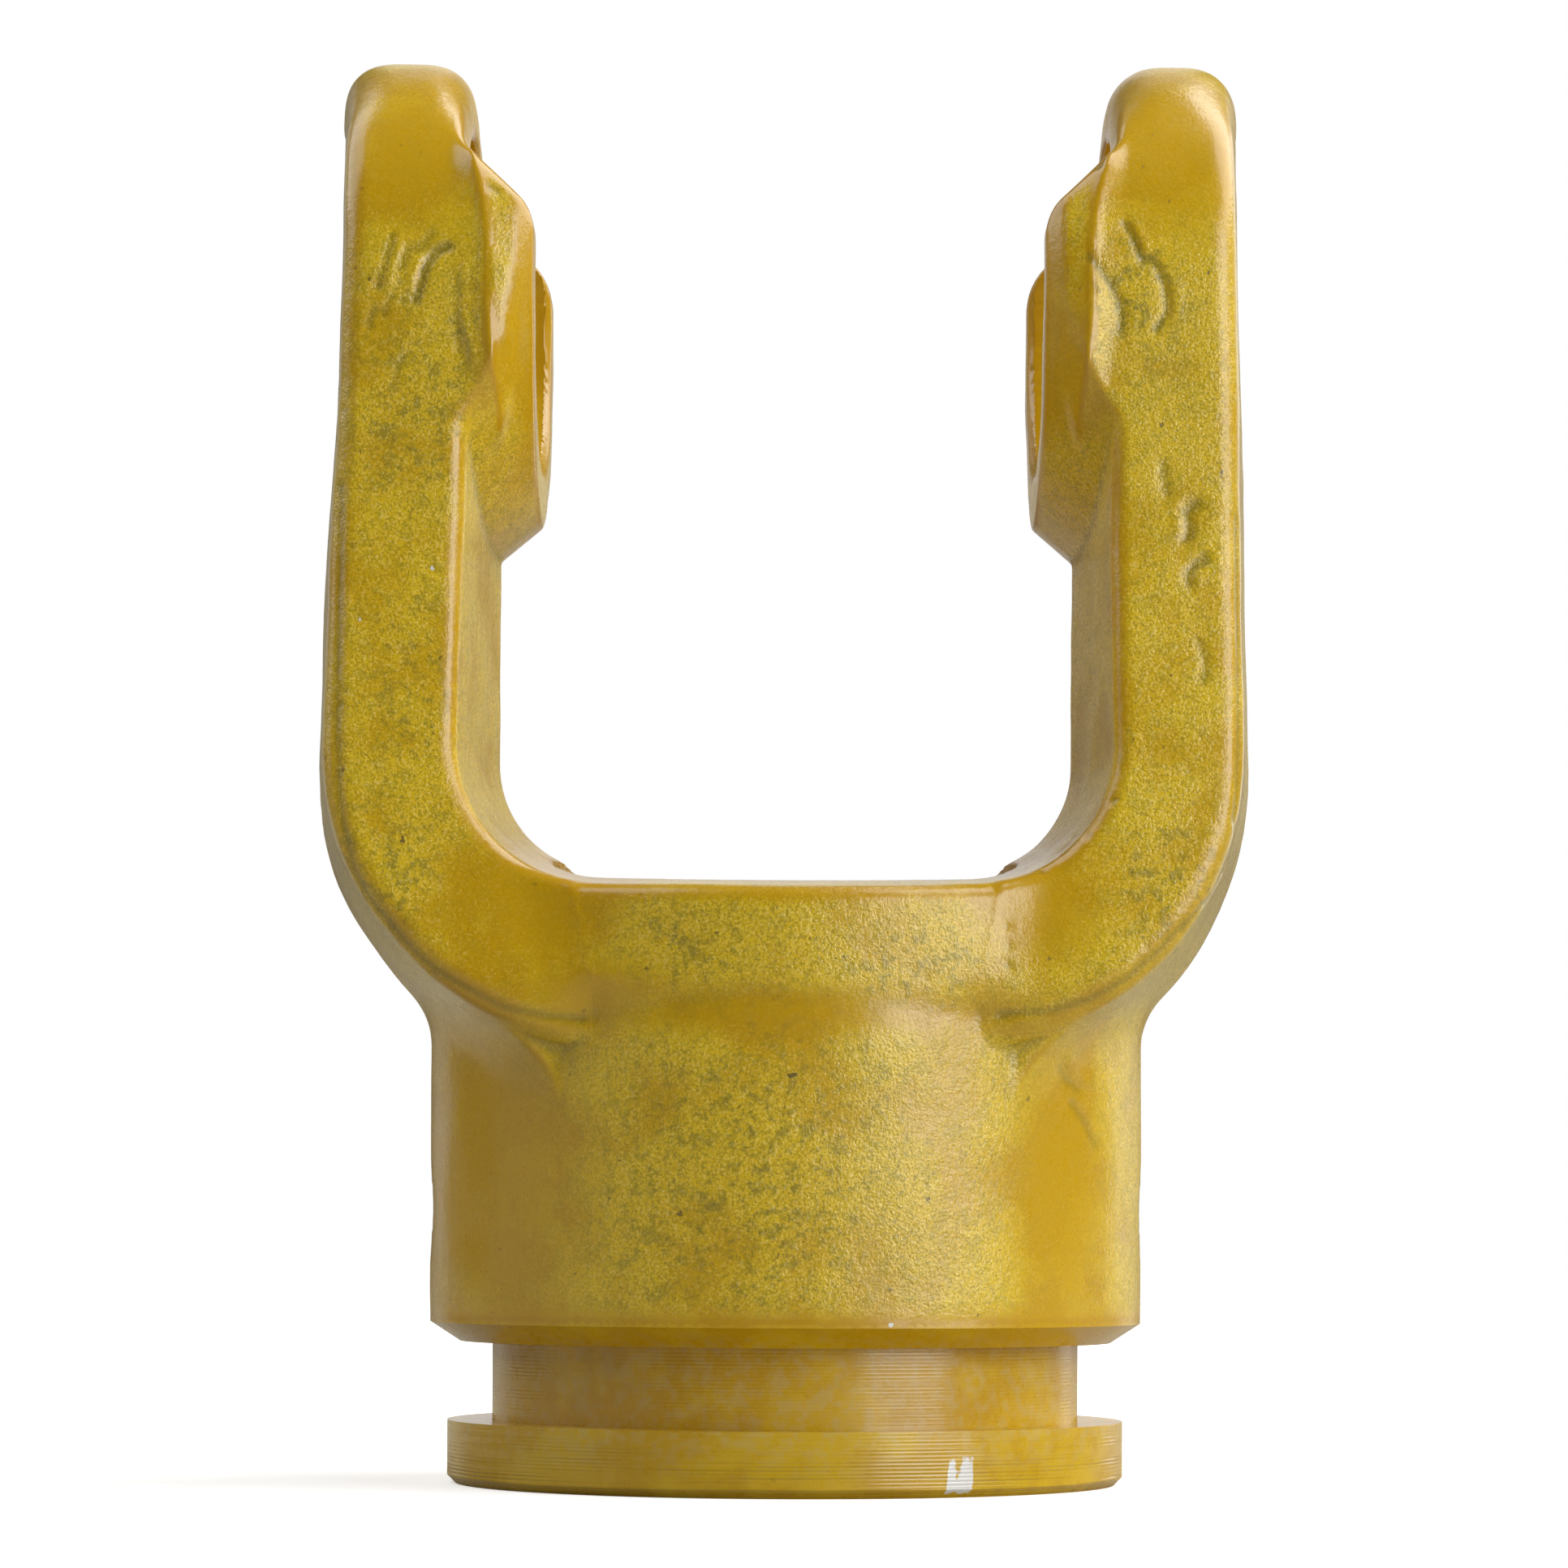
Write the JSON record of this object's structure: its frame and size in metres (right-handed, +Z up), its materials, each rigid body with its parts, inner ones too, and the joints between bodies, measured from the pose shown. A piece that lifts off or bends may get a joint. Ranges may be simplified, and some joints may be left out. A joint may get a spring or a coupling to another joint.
{
  "type": "forged tube yoke",
  "caption": "Forged tube yoke for a driveline universal joint: a turned hub with a profile socket and guard groove, and a fork whose ears carry the bearing bores.",
  "frame": {"origin": "centre of the hub's flat end face, where the yoke stands", "axes": "+Z up the driveline axis from the hub to the cross bores, +X along the cross bores from ear to ear"},
  "size_m": [0.0914, 0.0698, 0.139],
  "materials": {
    "yellow_paint": "mustard yellow gloss paint over a shot-blasted forging, fine turning marks on the collar"
  },
  "bodies": {
    "root": {"yoke": "yellow_paint"}
  },
  "joints": []
}
